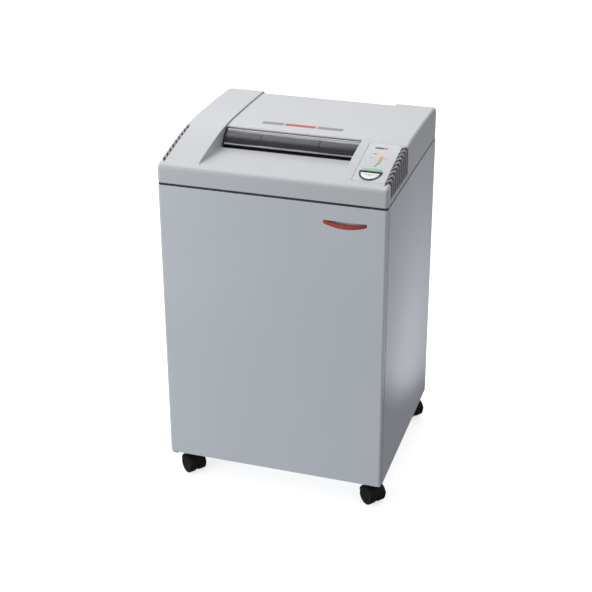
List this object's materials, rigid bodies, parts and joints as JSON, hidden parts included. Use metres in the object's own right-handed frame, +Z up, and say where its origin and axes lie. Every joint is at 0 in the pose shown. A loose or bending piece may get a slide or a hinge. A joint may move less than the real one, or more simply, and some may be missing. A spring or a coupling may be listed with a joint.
{
  "type": "paper shredder",
  "caption": "Floor-standing office paper shredder on casters, with a front door, sloping infeed tray, clear shield, rocker switch and geared cutting cylinders.",
  "frame": {"origin": "on the floor, below the centre of the whole shredder", "axes": "+X to the right of a person facing the door, +Y to the rear, +Z up"},
  "size_m": [0.636, 0.5674, 0.988],
  "materials": {
    "cabinet_board": "light blue-grey melamine facing, satin",
    "casing_plastic": "light warm grey, fine moulded grain",
    "dark_plastic": "near-black moulded plastic",
    "smoked_plastic": "smoky clear plastic",
    "red_plastic": "orange-red, semi-gloss",
    "silver_plastic": "pale silver, semi-gloss",
    "machined_steel": "machined and lightly oiled",
    "plated_steel": "zinc plated sheet",
    "circuit_board": "green solder mask",
    "green_light": "translucent green lens",
    "level_bar": "orange to green level bar",
    "motor_paint": "dark blue-grey enamel",
    "bin_plastic": "mid grey moulded plastic",
    "caster_nylon": "black nylon",
    "wheel_rubber": "black tread"
  },
  "bodies": {
    "cabinet": {"left_side_panel": "cabinet_board", "right_side_panel": "cabinet_board", "rear_panel": "cabinet_board", "base_board": "cabinet_board", "top_board": "cabinet_board", "head_casing": "casing_plastic", "hood_panel": "casing_plastic", "control_panel_plate": "casing_plastic", "shred_chute": "dark_plastic", "magnetic_catch": "dark_plastic", "door_switch": "dark_plastic", "throat_frame": "dark_plastic", "paper_sensor": "dark_plastic", "rocker_bezel": "dark_plastic", "mains_inlet": "dark_plastic", "mains_switch_housing": "dark_plastic", "shield_axle": "machined_steel", "rocker_pivot_pin": "machined_steel", "bearing_plate_left": "machined_steel", "bearing_plate_right": "machined_steel", "tie_rod": "machined_steel", "gear_axle": "machined_steel", "lower_hinge_bracket": "plated_steel", "upper_hinge_bracket": "plated_steel", "chassis_base_plate": "plated_steel", "lower_stripper_comb": "plated_steel", "upper_stripper_comb": "plated_steel", "run_capacitor": "plated_steel", "control_board": "circuit_board", "status_light": "green_light", "capacity_indicator": "level_bar", "motor_housing": "motor_paint", "shred_bin": "bin_plastic"},
    "door": {"front_door": "cabinet_board", "door_handle": "red_plastic", "strike_plate": "plated_steel", "door_switch_magnet": "dark_plastic"},
    "shield": {"safety_shield": "smoked_plastic"},
    "control_button": {"control_rocker": "silver_plastic"},
    "mains_button": {"mains_switch_rocker": "dark_plastic"},
    "upper_cylinder": {"upper_cutting_cylinder": "machined_steel", "upper_cylinder_gear": "machined_steel"},
    "lower_cylinder": {"lower_cutting_cylinder": "machined_steel", "lower_cylinder_gear": "machined_steel"},
    "intermediate_wheel": {"intermediate_gear": "machined_steel"},
    "rotor": {"motor_rotor": "machined_steel", "motor_pinion": "machined_steel", "cooling_fan": "dark_plastic"},
    "swivel_front_left": {"caster_front_left": "caster_nylon"},
    "roll_front_left_a": {"wheel_front_left_a": "wheel_rubber"},
    "roll_front_left_b": {"wheel_front_left_b": "wheel_rubber"},
    "swivel_front_right": {"caster_front_right": "caster_nylon"},
    "roll_front_right_a": {"wheel_front_right_a": "wheel_rubber"},
    "roll_front_right_b": {"wheel_front_right_b": "wheel_rubber"},
    "swivel_rear_right": {"caster_rear_right": "caster_nylon"},
    "roll_rear_right_a": {"wheel_rear_right_a": "wheel_rubber"},
    "roll_rear_right_b": {"wheel_rear_right_b": "wheel_rubber"},
    "swivel_rear_left": {"caster_rear_left": "caster_nylon"},
    "roll_rear_left_a": {"wheel_rear_left_a": "wheel_rubber"},
    "roll_rear_left_b": {"wheel_rear_left_b": "wheel_rubber"}
  },
  "joints": [
    {"name": "door_swing", "type": "hinge", "parent": "cabinet", "child": "door", "pos_m": [-0.296, -0.2685, 0.478], "axis": [0, 0, -1], "range_deg": [0, 110]},
    {"name": "shield_lift", "type": "hinge", "parent": "cabinet", "child": "shield", "pos_m": [0, -0.048, 0.972], "axis": [-1, 0, 0], "range_deg": [0, 55]},
    {"name": "control_rock", "type": "hinge", "parent": "cabinet", "child": "control_button", "pos_m": [0.2455, -0.21999, 0.9502], "axis": [1, 0, 0], "range_deg": [-6, 6], "stiffness_Nm_per_rad": 0.4},
    {"name": "mains_rock", "type": "hinge", "parent": "cabinet", "child": "mains_button", "pos_m": [0.184, 0.273, 0.928], "axis": [1, 0, 0], "range_deg": [0, 16]},
    {"name": "upper_cylinder_spin", "type": "hinge", "parent": "cabinet", "child": "upper_cylinder", "pos_m": [0, 0.00835, 0.9442], "axis": [1, 0, 0], "continuous": true},
    {"name": "lower_cylinder_spin", "type": "hinge", "parent": "cabinet", "child": "lower_cylinder", "pos_m": [0, -0.01235, 0.8998], "axis": [1, 0, 0], "continuous": true},
    {"name": "intermediate_spin", "type": "hinge", "parent": "cabinet", "child": "intermediate_wheel", "pos_m": [0.212, 0.04958, 0.93619], "axis": [1, 0, 0], "continuous": true},
    {"name": "rotor_spin", "type": "hinge", "parent": "cabinet", "child": "rotor", "pos_m": [0.072, 0.09628, 0.9321], "axis": [1, 0, 0], "continuous": true},
    {"name": "swivel_front_left_turn", "type": "hinge", "parent": "cabinet", "child": "swivel_front_left", "pos_m": [-0.265, -0.235, 0.06], "axis": [0, 0, 1], "continuous": true},
    {"name": "roll_front_left_a_turn", "type": "hinge", "parent": "swivel_front_left", "child": "roll_front_left_a", "pos_m": [-0.24133, -0.23395, 0.026], "axis": [0.6157, 0.788, 0], "continuous": true},
    {"name": "roll_front_left_b_turn", "type": "hinge", "parent": "swivel_front_left", "child": "roll_front_left_b", "pos_m": [-0.2603, -0.25822, 0.026], "axis": [0.6157, 0.788, 0], "continuous": true},
    {"name": "swivel_front_right_turn", "type": "hinge", "parent": "cabinet", "child": "swivel_front_right", "pos_m": [0.265, -0.235, 0.06], "axis": [0, 0, 1], "continuous": true},
    {"name": "roll_front_right_a_turn", "type": "hinge", "parent": "swivel_front_right", "child": "roll_front_right_a", "pos_m": [0.28867, -0.23395, 0.026], "axis": [0.6157, 0.788, 0], "continuous": true},
    {"name": "roll_front_right_b_turn", "type": "hinge", "parent": "swivel_front_right", "child": "roll_front_right_b", "pos_m": [0.2697, -0.25822, 0.026], "axis": [0.6157, 0.788, 0], "continuous": true},
    {"name": "swivel_rear_right_turn", "type": "hinge", "parent": "cabinet", "child": "swivel_rear_right", "pos_m": [0.265, 0.235, 0.06], "axis": [0, 0, 1], "continuous": true},
    {"name": "roll_rear_right_a_turn", "type": "hinge", "parent": "swivel_rear_right", "child": "roll_rear_right_a", "pos_m": [0.28867, 0.23605, 0.026], "axis": [0.6157, 0.788, 0], "continuous": true},
    {"name": "roll_rear_right_b_turn", "type": "hinge", "parent": "swivel_rear_right", "child": "roll_rear_right_b", "pos_m": [0.2697, 0.21178, 0.026], "axis": [0.6157, 0.788, 0], "continuous": true},
    {"name": "swivel_rear_left_turn", "type": "hinge", "parent": "cabinet", "child": "swivel_rear_left", "pos_m": [-0.265, 0.235, 0.06], "axis": [0, 0, 1], "continuous": true},
    {"name": "roll_rear_left_a_turn", "type": "hinge", "parent": "swivel_rear_left", "child": "roll_rear_left_a", "pos_m": [-0.28867, 0.23395, 0.026], "axis": [-0.6157, -0.788, 0], "continuous": true},
    {"name": "roll_rear_left_b_turn", "type": "hinge", "parent": "swivel_rear_left", "child": "roll_rear_left_b", "pos_m": [-0.2697, 0.25822, 0.026], "axis": [-0.6157, -0.788, 0], "continuous": true}
  ],
  "couplings": [
    {"joint": "lower_cylinder_spin", "follows": "upper_cylinder_spin", "ratio": -1},
    {"joint": "intermediate_spin", "follows": "upper_cylinder_spin", "ratio": -1.4},
    {"joint": "rotor_spin", "follows": "upper_cylinder_spin", "ratio": 5.6}
  ]
}
